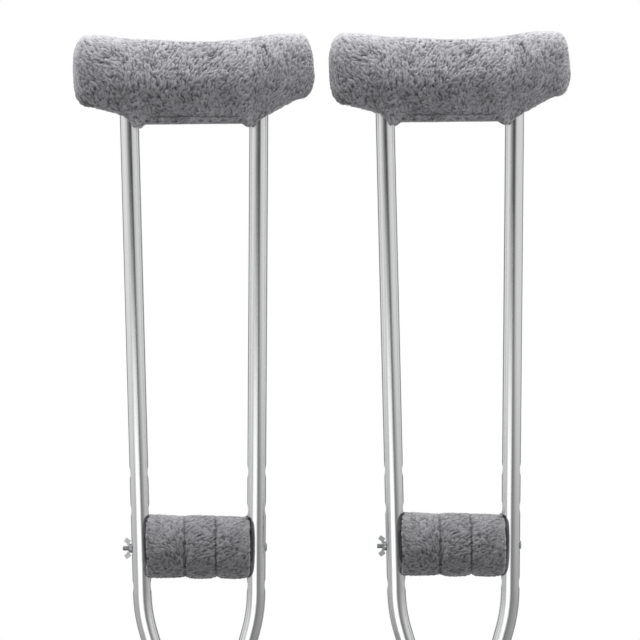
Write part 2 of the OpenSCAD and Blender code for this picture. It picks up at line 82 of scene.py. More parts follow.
AXIS_X = {side: centre(side + "_leg_tube").x for side in SIDES}
SADDLE_Z = mounts["left_underarm_rest"]["pos_m"][2]
GRIP_Z = mounts["left_handgrip"]["pos_m"][2]
COVER_LOW, COVER_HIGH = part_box("left_underarm_cover")
FLAP_LOW, FLAP_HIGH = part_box("left_underarm_cover_closure")
WRAP_LOW, WRAP_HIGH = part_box("left_grip_cover")
STRIP_LOW, STRIP_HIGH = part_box("left_grip_cover_closure")
BOLT_LOW, BOLT_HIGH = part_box("left_grip_bolt")
FOAM_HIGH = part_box("left_grip_foam")[1]
TUBE_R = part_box("left_head_side_upright")[1].y
PAD_HALF = (COVER_HIGH.x - COVER_LOW.x) / 2
PAD_DEEP = COVER_HIGH.y
WRAP_R = WRAP_HIGH.y
WRAP_HALF = (WRAP_HIGH.x - WRAP_LOW.x) / 2
FOAM_R = FOAM_HIGH.y

# ---------- camera ----------

VIEW_WIDTH = 0.640
VIEW_DISTANCE = 4.0
VIEW_ELEVATION = math.radians(3)
VIEW_ROLL = math.radians(0.52)
VIEW_AIM = Vector((-0.0038, 0, SADDLE_Z - 0.2765))
SENSOR = 36.0


def add_camera():
    """The camera at the photograph's angle, its roll included."""
    data = bpy.data.cameras.new("camera")
    data.sensor_width = SENSOR
    data.lens = SENSOR * VIEW_DISTANCE / VIEW_WIDTH
    data.clip_end = 50
    camera = bpy.data.objects.new("camera", data)
    bpy.context.scene.collection.objects.link(camera)
    back = Vector((0, -math.cos(VIEW_ELEVATION), math.sin(VIEW_ELEVATION)))
    camera.location = VIEW_AIM + back * VIEW_DISTANCE
    camera.rotation_mode = "QUATERNION"
    look = (-back).to_track_quat("-Z", "Y")
    camera.rotation_quaternion = look @ Quaternion((0, 0, 1), -VIEW_ROLL)
    bpy.context.scene.camera = camera


# ---------- node helpers ----------


class Shader:
    """A node tree with short calls for the nodes that the materials use."""

    def __init__(self, tree):
        self.tree = tree
        self.tree.nodes.clear()

    def add(self, kind, inputs=None, **settings):
        node = self.tree.nodes.new("ShaderNode" + kind)
        for name, value in settings.items():
            setattr(node, name, value)
        for name, value in (inputs or {}).items():
            self.put(node, name, value)
        return node

    def put(self, node, name, value):
        socket = node.inputs[name]
        if isinstance(value, bpy.types.NodeSocket):
            self.tree.links.new(value, socket)
        else:
            socket.default_value = value

    def math(self, operation, a, b=0.0, clamp=False):
        node = self.add("Math", {0: a, 1: b}, operation=operation, use_clamp=clamp)
        return node.outputs[0]

    def noise(self, scale, detail=2.0, vector=None, stretch=None, roughness=0.5):
        """Noise from the piece's own coordinates, its cells stretched by the given factors."""
        if vector is None:
            vector = self.add("TexCoord").outputs["Object"]
        if stretch is not None:
            mapping = self.add("Mapping", {"Vector": vector})
            mapping.inputs["Scale"].default_value = stretch
            vector = mapping.outputs["Vector"]
        node = self.add(
            "TexNoise",
            {"Vector": vector, "Scale": scale, "Detail": detail, "Roughness": roughness},
        )
        return node.outputs["Fac"]

    def ramp(self, factor, stops, interpolation="LINEAR"):
        """A colour ramp; each stop is (place, grey or colour)."""
        node = self.add("ValToRGB", {"Fac": factor})
        ramp = node.color_ramp
        ramp.interpolation = interpolation
        while len(ramp.elements) < len(stops):
            ramp.elements.new(0.5)
        for element, (place, value) in zip(ramp.elements, stops):
            element.position = place
            element.color = colour(value)
        return node.outputs["Color"]

    def remap(self, value, low, high, to_low=0.0, to_high=1.0, smooth=False):
        node = self.add(
            "MapRange",
            {"Value": value, "From Min": low, "From Max": high,
             "To Min": to_low, "To Max": to_high},
        )
        node.interpolation_type = "SMOOTHSTEP" if smooth else "LINEAR"
        return node.outputs["Result"]

    def mix(self, factor, a, b, blend="MIX"):
        node = self.add("Mix", data_type="RGBA", blend_type=blend)
        self.put(node, 0, factor)
        self.put(node, 6, colour(a))
        self.put(node, 7, colour(b))
        return node.outputs[2]

    def bump(self, height, distance, strength=1.0, normal=None):
        node = self.add("Bump", {"Height": height, "Distance": distance, "Strength": strength})
        if normal is not None:
            self.put(node, "Normal", normal)
        return node.outputs["Normal"]


def colour(value):
    """A grey, an RGB triple or a socket, as a shader takes it."""
    if isinstance(value, bpy.types.NodeSocket):
        return value
    if isinstance(value, (int, float)):
        return (value, value, value, 1.0)
    return (*value, 1.0)


def new_material(name, build, **settings):
    """A Principled material: build fills its textures and returns the linked sockets."""
    material = bpy.data.materials.new(name)
    material.use_nodes = True
    shader = Shader(material.node_tree)
    surface = shader.add("BsdfPrincipled")
    for key, value in {**settings, **build(shader)}.items():
        shader.put(surface, key, value)
    output = shader.add("OutputMaterial")
    shader.tree.links.new(surface.outputs["BSDF"], output.inputs["Surface"])
    return material


# ---------- stage and lights ----------

WALL_R = 1.8


def link(name, mesh):
    """A new object with the given mesh, in the scene."""
    piece = bpy.data.objects.new(name, mesh)
    bpy.context.scene.collection.objects.link(piece)
    return piece


def add_floor():
    """A plain pale disc under the crutches, seen dark grey in reflections: a painted reflection for
    the tubes.
    """
    half, steps = 3.0, 96
    mesh = bpy.data.meshes.new("floor")
    rim = [2 * math.pi * i / steps for i in range(steps)]
    mesh.from_pydata([(half * math.cos(a), half * math.sin(a), 0) for a in rim], [], [range(steps)])
    floor = link("floor", mesh)
    floor.location.z = CAD_LOW.z - 0.0002

    def pale(shader):
        grain = shader.noise(6.0, 4.0)
        # Painted reflection: rays reflected off the tubes see the floor dark grey (0.16), giving the
        # tubes darker low ends; the camera and diffuse light see it pale.
        reflected = shader.add("LightPath").outputs["Is Glossy Ray"]
        tint = shader.ramp(grain, [(0.3, 0.50), (0.7, 0.54)])
        return {"Base Color": shader.mix(reflected, tint, 0.16)}

    floor.data.materials.append(new_material("pale_floor", pale, Roughness=0.7))


def add_reflection_wall():
    """An open cylinder round the crutches that only reflections see: the studio's flags and
    softboxes, which give the tubes their long dark and bright bands."""
    steps, low, high = 96, -0.6, 2.6
    points = []
    for z in (low, high):
        for i in range(steps):
            turn = 2 * math.pi * i / steps
            points.append((WALL_R * math.sin(turn), -WALL_R * math.cos(turn), z))
    faces = [(i, (i + 1) % steps, steps + (i + 1) % steps, steps + i) for i in range(steps)]
    mesh = bpy.data.meshes.new("reflection_wall")
    mesh.from_pydata(points, [], faces)
    wall = link("reflection_wall", mesh)
    wall.visible_camera = False
    wall.visible_diffuse = False
    wall.visible_transmission = False
    wall.visible_shadow = False

    material = bpy.data.materials.new("reflection_wall")
    material.use_nodes = True
    shader = Shader(material.node_tree)
    place = shader.add("SeparateXYZ", {0: shader.add("NewGeometry").outputs["Position"]})
    back = shader.math("MULTIPLY", place.outputs["Y"], -1.0)
    turn = shader.math("ARCTAN2", place.outputs["X"], back)
    share = shader.remap(turn, -math.pi, math.pi)

    def at(degrees):
        return degrees / 360 + 0.5

    above = shader.ramp(share, [
        (at(-180), 0.60), (at(-162), 0.66), (at(-144), 0.12), (at(-132), 0.14), (at(-118), 0.70),
        (at(-66), 0.77), (at(-50), 0.60), (at(-26), 0.20), (at(-4), 0.035), (at(8), 0.03),
        (at(22), 0.28), (at(32), 0.60), (at(60), 0.68), (at(118), 0.64), (at(132), 0.14),
        (at(144), 0.12), (at(162), 0.66), (at(180), 0.60),
    ])
    below = shader.ramp(share, [
        (at(-180), 0.24), (at(-160), 0.90), (at(-150), 0.80), (at(-138), 0.10), (at(-118), 0.42),
        (at(-66), 0.40), (at(-54), 0.36), (at(-40), 1.25), (at(-6), 1.25), (at(5), 0.60),
        (at(11), 0.16), (at(40), 0.24), (at(90), 0.36), (at(118), 0.34), (at(138), 0.10),
        (at(150), 0.60), (at(160), 0.70), (at(180), 0.24),
    ])
    middle = shader.math("ABSOLUTE", shader.math("SUBTRACT", share, at(-6)))
    sideways = shader.remap(middle, at(30) - at(0), at(75) - at(0), smooth=True)
    height = shader.math("ADD", place.outputs["Z"], shader.math("MULTIPLY", sideways, 0.22))
    rise = shader.remap(height, 0.66, 1.12, smooth=True)
    glow = shader.mix(rise, below, above)
    lamp = shader.add("Emission", {"Color": glow, "Strength": 1.0})
    output = shader.add("OutputMaterial")
    shader.tree.links.new(lamp.outputs["Emission"], output.inputs["Surface"])
    mesh.materials.append(material)


def add_world():
    """Soft light from all round, and plain white behind for the camera."""
    world = bpy.data.worlds.new("studio")
    bpy.context.scene.world = world
    world.use_nodes = True
    shader = Shader(world.node_tree)
    direction = shader.add("TexCoord").outputs["Generated"]
    up = shader.add("SeparateXYZ", {0: direction}).outputs["Z"]
    dome = shader.ramp(shader.remap(up, -1, 1), [(0.0, 0.08), (0.5, 0.24), (1.0, 0.85)])
    seen = shader.add("LightPath").outputs["Is Camera Ray"]
    sky = shader.mix(seen, dome, 1.0)
    background = shader.add("Background", {"Color": sky, "Strength": 1.0})
    output = shader.add("OutputWorld")
    shader.tree.links.new(background.outputs["Background"], output.inputs["Surface"])


def add_area(name, place, aim, width, height, power):
    """A soft area light at place, turned to aim, and not seen in reflections."""
    data = bpy.data.lights.new(name, "AREA")
    data.shape = "RECTANGLE"
    data.size = width
    data.size_y = height
    data.energy = power
    lamp = bpy.data.objects.new(name, data)
    bpy.context.scene.collection.objects.link(lamp)
    lamp.location = place
    lamp.rotation_mode = "QUATERNION"
    lamp.rotation_quaternion = (Vector(aim) - Vector(place)).to_track_quat("-Z", "Y")
    lamp.visible_glossy = False


def add_lights():
    """The soft boxes of a small product studio."""
    aim = (0, 0, 1.1)
    add_area("overhead_softbox", (0.1, -0.45, 3.0), aim, 1.8, 1.2, 58)
    add_area("key_softbox", (-1.3, -2.2, 2.5), aim, 0.7, 0.7, 7)
    add_area("fill_softbox", (1.9, -1.8, 2.0), aim, 1.0, 1.0, 4)
    add_area("back_softbox", (0.0, 1.7, 2.9), aim, 2.4, 1.2, 26)
    for side, place in (("left", -2.4), ("right", 2.4)):
        add_area(side + "_rim_softbox", (place, -0.35, 1.9), (0, 0, 1.25), 1.0, 1.2, 25)


# ---------- materials ----------


def drawn_metal(name, tone, roughness, streak=0.02, dent=0.00002, axis=2):
    """Drawn or turned metal: fine streaks along one axis, faint handling marks and specks."""

    def build(shader):
        along = [1.0, 1.0, 1.0]
        along[axis] = 0.02
        streaks = shader.noise(900.0, 3.0, stretch=along, roughness=0.7)
        patches = shader.noise(14.0, 3.0)
        specks = shader.remap(shader.noise(520.0, 1.0), 0.74, 0.80)
        tint = shader.ramp(streaks, [
            (0.30, [c * (1 - streak) for c in tone]), (0.70, [c * (1 + streak) for c in tone]),
        ])
        tint = shader.mix(shader.math("MULTIPLY", specks, 0.35), tint, (0.34, 0.34, 0.35))
        rough = shader.math("ADD", shader.remap(streaks, 0.3, 0.7, roughness - 0.03, roughness + 0.03),
                            shader.remap(patches, 0.35, 0.65, -0.015, 0.02))
        grain = shader.bump(streaks, dent, 0.35)
        return {"Base Color": tint, "Roughness": rough, "Normal": grain}

    return new_material(name, build, Metallic=1.0)


def moulded_plastic(name, tone, roughness=0.45):
    """Moulded plastic with a fine spark-eroded grain and paler worn patches."""

    def build(shader):
        grain = shader.noise(1400.0, 2.0)
        wear = shader.noise(45.0, 4.0)
        tint = shader.ramp(wear, [(0.35, [c * 0.86 for c in tone]), (0.7, [c * 1.22 for c in tone])])
        rough = shader.remap(wear, 0.3, 0.7, roughness - 0.06, roughness + 0.08)
        return {"Base Color": tint, "Roughness": rough, "Normal": shader.bump(grain, 0.00008, 0.3)}

    return new_material(name, build)


def moulded_rubber(name, tone):
    """Rubber with a dusty bloom in random patches."""

    def build(shader):
        grain = shader.noise(900.0, 3.0)
        bloom = shader.noise(60.0, 5.0)
        tint = shader.ramp(bloom, [(0.3, [c * 0.8 for c in tone]), (0.72, [c * 1.35 for c in tone])])
        rough = shader.remap(bloom, 0.3, 0.7, 0.62, 0.86)
        return {"Base Color": tint, "Roughness": rough, "Normal": shader.bump(grain, 0.00015, 0.4)}

    return new_material(name, build)


def foam_rubber(name, tone):
    """Open-cell foam: round pores of mixed size, darkened towards their middles as painted shade in
    the pores.
    """

    def build(shader):
        place = shader.add("TexCoord").outputs["Object"]
        pores = shader.add("TexVoronoi", {"Vector": place, "Scale": 620.0}).outputs["Distance"]
        # Painted shade: each pore is darkened to 0.4 of the tone at its middle.
        tint = shader.ramp(pores, [(0.1, [c * 0.4 for c in tone]), (0.5, tone)])
        return {"Base Color": tint, "Normal": shader.bump(pores, 0.0006, 0.8)}

    return new_material(name, build, Roughness=0.95)


def plush(name, root, tip):
    """Short plush pile: the tufts' own height, kept on the mesh, colours a dark root and a light tip;
    the dark roots are painted shade between the tufts, and slow light and dark patches are painted
    sheen of pile brushed different ways.
    """

    def build(shader):
        pile = shader.add("Attribute", attribute_name="pile", attribute_type="GEOMETRY").outputs["Fac"]
        # Painted sheen: broad lighter and darker patches, standing in for pile brushed different ways
        # catching the light.
        brushed_sheen = shader.noise(26.0, 3.0)
        fibres = shader.noise(1500.0, 2.0, stretch=(1.0, 1.0, 0.45))
        level = shader.math("ADD", pile, shader.remap(fibres, 0.3, 0.7, -0.10, 0.10))
        level = shader.math("ADD", level, shader.remap(brushed_sheen, 0.3, 0.7, -0.09, 0.09))
        # Painted shade: low pile between the tufts takes the near-black root colour, and the tips take
        # the lit tip colour.
        tint = shader.ramp(level, [
            (0.05, root), (0.45, [(2 * r + 3 * t) / 5 for r, t in zip(root, tip)]), (0.95, tip),
        ])
        return {"Base Color": tint, "Normal": shader.bump(fibres, 0.0004, 0.5)}

    return new_material(
        name, build, **{"Roughness": 0.92, "Sheen Weight": 0.6, "Sheen Roughness": 0.45,
                        "Specular IOR Level": 0.2})


def woven_tape(name, tone):
    """Hook tape: a tight weave with rows of small hooks."""

    def build(shader):
        place = shader.add("TexCoord").outputs["Object"]
        wave = shader.add("TexWave", {"Vector": place, "Scale": 520.0, "Distortion": 0.6},
                          bands_direction="X")
        cross = shader.add("TexWave", {"Vector": place, "Scale": 520.0, "Distortion": 0.6},
                           bands_direction="Z")
        weave = shader.math("MULTIPLY", wave.outputs["Fac"], cross.outputs["Fac"])
        tint = shader.ramp(weave, [(0.1, [c * 0.5 for c in tone]), (0.8, [c * 1.3 for c in tone])])
        return {"Base Color": tint, "Normal": shader.bump(weave, 0.0003, 0.7)}

    return new_material(name, build, Roughness=0.85)


def polished(name, tone, roughness):
    """Bright plating with faint swirls."""

    def build(shader):
        swirl = shader.noise(300.0, 4.0)
        return {"Roughness": shader.remap(swirl, 0.3, 0.7, roughness, roughness + 0.08),
                "Normal": shader.bump(swirl, 0.00002, 0.3)}

    return new_material(name, build, **{"Metallic": 1.0, "Base Color": colour(tone)})


MATERIALS = {
    "tube_aluminium": drawn_metal("tube_aluminium", (0.93, 0.935, 0.94), 0.19),
    "leg_aluminium": drawn_metal("leg_aluminium", (0.90, 0.905, 0.91), 0.22),
    "rivet_aluminium": drawn_metal("rivet_aluminium", (0.80, 0.81, 0.82), 0.30, axis=0),
    "zinc_steel": drawn_metal("zinc_steel", (0.58, 0.585, 0.60), 0.30, streak=0.05, axis=0),
    "nut_steel": drawn_metal("nut_steel", (0.52, 0.54, 0.55), 0.32, streak=0.08, axis=0),
    "spring_steel": drawn_metal("spring_steel", (0.50, 0.51, 0.53), 0.28),
    "button_chrome": polished("button_chrome", (0.88, 0.88, 0.89), 0.06),
    "grey_plastic": moulded_plastic("grey_plastic", (0.21, 0.215, 0.22)),
    "black_plastic": moulded_plastic("black_plastic", (0.022, 0.022, 0.025), 0.38),
    "grey_rubber": moulded_rubber("grey_rubber", (0.115, 0.115, 0.12)),
    "foam": foam_rubber("foam", (0.050, 0.050, 0.053)),
    "hook_tape": woven_tape("hook_tape", (0.075, 0.072, 0.078)),
    # Each plush's first colour is its root, painted shade between the tufts; the second is its lit
    # tip.
    "pad_plush": plush("pad_plush", (0.055, 0.054, 0.059), (0.445, 0.440, 0.465)),
    "grip_plush": plush("grip_plush", (0.042, 0.041, 0.044), (0.285, 0.281, 0.296)),
}

# The frame's CAD nodes take the material of their own slot in the record
for part in frame["record"]["subparts"]:
    node = nodes[part["node"]]
    node.data.materials.clear()
    node.data.materials.append(MATERIALS[part["material_slot"]])

add_camera()
add_world()
add_floor()
add_reflection_wall()
add_lights()

# ---------- pile: tufts as a field on a fine grid ----------

SEED = 7


def lattice_noise(points, cell, seed):
    """Smooth value noise of 3-D points, from 0 to 1, with cells of the given size."""
    size = 32
    table = np.random.default_rng(seed).random((size, size, size))
    place = points / cell
    low = np.floor(place).astype(int)
    t = place - low
    t = t * t * (3 - 2 * t)
    total = np.zeros(points.shape[:-1])
    for i in (0, 1):
        for j in (0, 1):
            for k in (0, 1):
                weight = np.ones(points.shape[:-1])
                for axis, step in enumerate((i, j, k)):
                    weight = weight * (t[..., axis] if step else 1 - t[..., axis])
                corner = (low + (i, j, k)) % size
                total += weight * table[corner[..., 0], corner[..., 1], corner[..., 2]]
    return total


def grid_frame(points, wrap_rows=False):
    """Unit tangents along the rows' and the columns' directions, and the outward normal."""
    if wrap_rows:
        down = np.roll(points, -1, 0) - np.roll(points, 1, 0)
    else:
        down = np.gradient(points, axis=0)
    across = np.roll(points, -1, 1) - np.roll(points, 1, 1)
    normal = np.cross(across, down)

    def unit(v):
        return v / np.maximum(np.linalg.norm(v, axis=-1, keepdims=True), 1e-12)

    normal = unit(normal)
    down = unit(down)
    return down, np.cross(normal, down), normal


def tufts(points, flow, wrap_rows, spacing, length, width, seed, reach=7):
    """Height from 0 to 1 of a coat of tufts that lie along flow. Each tuft rises from its root
    to its tip, which stands over the next tuft's root."""
    rows, columns = points.shape[:2]
    rng = np.random.default_rng(seed)
    down, across, _ = grid_frame(points, wrap_rows)
    cell = np.linalg.norm(np.roll(points, -1, 1) - points, axis=-1)
    step = np.linalg.norm(np.gradient(points, axis=0), axis=-1)
    chance = np.clip(cell * step / spacing ** 2, 0, 1)
    picked = np.argwhere(rng.random((rows, columns)) < chance)
    r0, c0 = picked[:, 0], picked[:, 1]
    turn = flow[r0, c0] + rng.normal(0, 0.24, len(r0))
    long = length * rng.uniform(0.7, 1.3, len(r0))
    wide = width * rng.uniform(0.8, 1.25, len(r0))
    tall = rng.uniform(0.62, 1.0, len(r0))
    curl = rng.normal(0, 0.10, len(r0)) / length
    way = np.cos(turn)[:, None] * down[r0, c0] + np.sin(turn)[:, None] * across[r0, c0]
    side = -np.sin(turn)[:, None] * down[r0, c0] + np.cos(turn)[:, None] * across[r0, c0]
    height = np.zeros((rows, columns))
    for dr in range(-reach, reach + 1):
        r = r0 + dr
        inside = np.ones(len(r), bool) if wrap_rows else (r >= 0) & (r < rows)
        r = r % rows
        for dc in range(-reach, reach + 1):
            c = (c0 + dc) % columns
            gap = points[r, c] - points[r0, c0]
            s = np.einsum("ij,ij->i", gap, way) / long
            w = np.einsum("ij,ij->i", gap, side) - curl * (s * long) ** 2
            along = np.clip((s + 0.5), 0, 1) ** 0.7 * np.clip((0.5 - s) * 6, 0, 1)
            body = np.clip(1 - (w / wide) ** 2, 0, 1)
            value = np.where(inside, tall * along * body, 0)
            np.maximum.at(height, (r, c), value)
    return height


def blurred(field, wrap_rows):
    """One light pass of smoothing over a grid field."""
    pad = np.pad(field, ((1, 1), (0, 0)), mode="wrap" if wrap_rows else "edge")
    field = 0.25 * pad[:-2] + 0.5 * pad[1:-1] + 0.25 * pad[2:]
    return 0.25 * np.roll(field, 1, 1) + 0.5 * field + 0.25 * np.roll(field, -1, 1)


def add_pile(points, flow, wrap_rows=False, seed=SEED, tall=0.0031, lean=0.0021, fade=None,
             spacing=0.0019, length=0.0052, width=0.00098):
    """Displaces a grid by a coat of tufts; gives the new points and the pile's height."""
    down, across, normal = grid_frame(points, wrap_rows)
    coat = tufts(points, flow, wrap_rows, spacing, length, width, seed)
    under = tufts(points, flow + 0.5, wrap_rows, spacing, length * 0.8, width, seed + 1)
    height = np.maximum(coat, under * 0.5)
    height = 0.85 * height + 0.15 * blurred(height, wrap_rows)
    height = height * (0.82 + 0.36 * (lattice_noise(points, 0.006, seed + 2) - 0.5))
    strength = 1.0 if fade is None else fade[..., None]
    way = np.cos(flow)[..., None] * down + np.sin(flow)[..., None] * across
    raised = (height - 0.55)[..., None]
    moved = points + strength * (normal * raised * tall + way * raised * lean)
    return moved, np.clip(height, 0, 1)


def grid_mesh(name, points, pile, wrap_rows=False, poles=None):
    """A closed mesh from a grid whose columns wrap, its ends closed by poles or wrapped rows."""
    rows, columns = points.shape[:2]
    index = np.arange(rows * columns).reshape(rows, columns)
    top = index if wrap_rows else index[:-1]
    below = np.roll(index, -1, 0) if wrap_rows else index[1:]
    quads = np.stack([top, below, np.roll(below, -1, 1), np.roll(top, -1, 1)], -1).reshape(-1, 4)
    verts = points.reshape(-1, 3)
    level = pile.reshape(-1)
    faces = [quads[:, ::-1]]
    fans = []
    if poles is not None:
        first, last = len(verts), len(verts) + 1
        verts = np.concatenate([verts, np.array(poles)])
        level = np.concatenate([level, [pile[0].mean(), pile[-1].mean()]])
        start, end = index[0], index[-1]
        fans.append(np.stack([np.full(columns, first), start, np.roll(start, -1)], -1)[:, ::-1])
        fans.append(np.stack([np.full(columns, last), np.roll(end, -1), end], -1)[:, ::-1])
    mesh = bpy.data.meshes.new(name)
    corners = np.concatenate([f.reshape(-1) for f in faces + fans])
    sizes = np.concatenate([np.full(len(f), f.shape[1]) for f in faces + fans])
    mesh.vertices.add(len(verts))
    mesh.vertices.foreach_set("co", verts.astype(np.float32).ravel())
    mesh.loops.add(len(corners))
    mesh.loops.foreach_set("vertex_index", corners.astype(np.int32))
    mesh.polygons.add(len(sizes))
    mesh.polygons.foreach_set("loop_start", (np.cumsum(sizes) - sizes).astype(np.int32))
    mesh.update(calc_edges=True)
    mesh.polygons.foreach_set("use_smooth", np.ones(len(sizes), bool))
    attribute = mesh.attributes.new("pile", "FLOAT", "POINT")
    attribute.data.foreach_set("value", level.astype(np.float32))
    mesh.validate()
    return mesh


# ---------- cloth: a coarse copy is inflated, and the fine grid follows it ----------


def inflated(points, pinned, cap, wrap_rows=False, pressure=3.0, frames=18):
    """Blows up a coarse grid of cloth with some rows or points pinned, and gives how far each
    point moved, at most cap."""
    poles = None if wrap_rows else [points[0].mean(0), points[-1].mean(0)]
    mesh = grid_mesh("cloth_try", points, np.zeros(points.shape[:2]), wrap_rows, poles)
    trial = link("cloth_try", mesh)
    group = trial.vertex_groups.new(name="pinned")
    held = np.nonzero(pinned.reshape(-1))[0]
    group.add([int(i) for i in held], 1.0, "REPLACE")
    cloth = trial.modifiers.new("cloth", "CLOTH").settings
    cloth.quality = 6
    cloth.mass = 0.25
    cloth.tension_stiffness = 18
    cloth.compression_stiffness = 6
    cloth.bending_stiffness = 0.6
    cloth.use_pressure = True
    cloth.uniform_pressure_force = pressure
    cloth.vertex_group_mass = "pinned"
    cloth.effector_weights.gravity = 0
    scene = bpy.context.scene
    for number in range(1, frames + 1):
        scene.frame_set(number)
    shown = trial.evaluated_get(bpy.context.evaluated_depsgraph_get())
    result = shown.to_mesh()
    co = np.zeros(len(result.vertices) * 3, np.float32)
    result.vertices.foreach_get("co", co)
    shown.to_mesh_clear()
    bpy.data.objects.remove(trial)
    scene.frame_set(1)
    count = points.shape[0] * points.shape[1]
    moved = co.reshape(-1, 3)[:count].reshape(points.shape) - points
    far = np.linalg.norm(moved, axis=-1, keepdims=True)
    return moved * np.minimum(1, cap / np.maximum(far, 1e-9))


def spread_to(coarse, rows, columns, wrap_rows):
    """A coarse grid's field, read at a finer grid of the same surface."""
    have_r, have_c = coarse.shape[:2]
    if wrap_rows:
        r = np.arange(rows) * have_r / rows
    else:
        r = np.linspace(0, have_r - 1, rows)
    c = np.arange(columns) * have_c / columns
    r0, c0 = np.floor(r).astype(int), np.floor(c).astype(int)
    fr, fc = (r - r0)[:, None, None], (c - c0)[None, :, None]
    fr, fc = fr * fr * (3 - 2 * fr), fc * fc * (3 - 2 * fc)
    r1 = (r0 + 1) % have_r if wrap_rows else np.minimum(r0 + 1, have_r - 1)
    c1 = (c0 + 1) % have_c

    def at(i, j):
        return coarse[np.ix_(i, j)]

    return ((1 - fr) * ((1 - fc) * at(r0, c0) + fc * at(r0, c1))
            + fr * ((1 - fc) * at(r1, c0) + fc * at(r1, c1)))


# ---------- underarm pad ----------

CAP_LONG = 15.6 * MM
CAP_POWER = 2.45
# Outlines as (place from the middle, value) in millimetres: the fall of the top,
# the depth of the foot on each side, and half the width between the foot's lips
PAD_TOP = [(0, 0.0), (20, 0.2), (40, 1.1), (60, 2.8), (75, 4.7), (90, 7.1), (98, 8.3),
           (106, 8.8)]
PAD_FOOT = [(0, 73.0), (38, 73.2), (45, 75.5), (50, 80.0), (55.5, 84.0), (60, 81.0), (66, 75.4),
            (72, 70.8), (80, 67.6), (88, 65.0), (96, 62.4), (106, 60.2)]
PAD_FOOT_RIGHT = [(0, 73.0), (38, 73.2), (45, 75.5), (50, 80.0), (56.5, 83.0), (62, 78.0),
                  (68, 73.8), (76, 69.0), (84, 65.0), (92, 61.0), (100, 57.0), (106, 54.5)]
LIP_HALF = [(0, 14.5), (44, 14.0), (56, 14.5), (72, 15.0), (84, 18.0), (96, 21.0), (106, 22.0)]


def curve_at(points, x):
    """A smooth curve through (place, value) pairs in millimetres, by distance from the middle."""
    fine = np.linspace(-130, 130, 1041)
    value = np.interp(np.abs(fine), [p[0] for p in points], [p[1] for p in points])
    kernel = np.exp(-0.5 * (np.arange(-16, 17) / 6.0) ** 2)
    value = np.convolve(np.pad(value, 16, mode="edge"), kernel / kernel.sum(), mode="valid")
    return np.interp(x / MM, fine, value) * MM


def closed_spline(control, count):
    """Points evenly along a closed uniform cubic B-spline."""
    n = len(control)
    t = np.linspace(0, n, 12 * n, endpoint=False)
    i, f = np.floor(t).astype(int), t - np.floor(t)
    weights = [(1 - f) ** 3 / 6, (3 * f ** 3 - 6 * f ** 2 + 4) / 6,
               (-3 * f ** 3 + 3 * f ** 2 + 3 * f + 1) / 6, f ** 3 / 6]
    dense = sum(w[:, None] * control[(i + k - 1) % n] for k, w in enumerate(weights))
    loop = np.concatenate([dense, dense[:1]])
    length = np.concatenate([[0], np.cumsum(np.linalg.norm(np.diff(loop, axis=0), axis=1))])
    even = np.arange(count) * length[-1] / count
    return np.stack([np.interp(even, length, loop[:, a]) for a in (0, 1)], -1)


def pad_section(x, count):
    """The pad's (y, z) section at x, from the middle of the top round the front."""
    top = SADDLE_Z + curve_at(PAD_TOP, x)
    foot = SADDLE_Z - curve_at(PAD_FOOT_RIGHT if x > 0 else PAD_FOOT, x)
    lip = curve_at(LIP_HALF, x)
    wide = PAD_DEEP
    half = [
        (0.40 * wide, top), (0.80 * wide, top - 2.5 * MM), (1.03 * wide, top - 13 * MM),
        (1.05 * wide, top - 30 * MM), (0.95 * wide, top - 46 * MM),
        (lip + 0.22 * wide, foot + 10 * MM), (lip + 2.0 * MM, foot + 0.5 * MM),
        (lip - 3.5 * MM, foot - 2.2 * MM), (0.35 * lip, foot + 1.0 * MM),
    ]
    control = [(0, top)] + [(-y, z) for y, z in half] + [(0, foot + 2 * MM)]
    control += [(y, z) for y, z in reversed(half)]
    return closed_spline(np.array(control), count)


def pad_grid(rows, columns, slim=0.0):
    """The pad's cover as a grid: evenly spaced sections, shrinking round its ends."""
    straight = PAD_HALF - CAP_LONG
    share = np.sin(np.linspace(0, math.pi / 2, 400))[::-1]
    reach = CAP_LONG * (1 - share ** CAP_POWER) ** (1 / CAP_POWER)
    across = share * 34 * MM
    walk = np.concatenate([[0], np.cumsum(np.hypot(np.diff(reach), np.diff(across)))])
    whole = 2 * (straight + walk[-1])
    s = (np.arange(rows) + 0.5) / rows * whole - whole / 2
    past = np.clip(np.abs(s) - straight, 0, None)
    scale = np.interp(past, walk, share)
    x = np.sign(s) * np.where(past > 0, straight + np.interp(past, walk, reach), np.abs(s))
    waist = SADDLE_Z - 26 * MM
    points = np.zeros((rows, columns, 3))
    for row in range(rows):
        section = pad_section(max(-straight, min(x[row], straight)), columns)
        points[row, :, 0] = x[row]
        points[row, :, 1] = section[:, 0] * scale[row]
        points[row, :, 2] = waist + (section[:, 1] - waist) * scale[row]
    points[..., 0] *= 1 - slim / PAD_HALF
    points[..., 1] *= 1 - slim / PAD_DEEP
    return points


def smooth_noise_turn(points, cell, seed, amount):
    """A slowly changing turn for the pile's lie, from -amount to amount radians."""
    return (lattice_noise(points, cell, seed) - 0.5) * 2 * amount


PAD_GRID = (336, 262)
PAD_CLOTH_GRID = (64, 48)
PAD_SLIM = 1.6 * MM
PAD_SWELL = 3.2 * MM
PAD_HELD_BELOW = 62 * MM


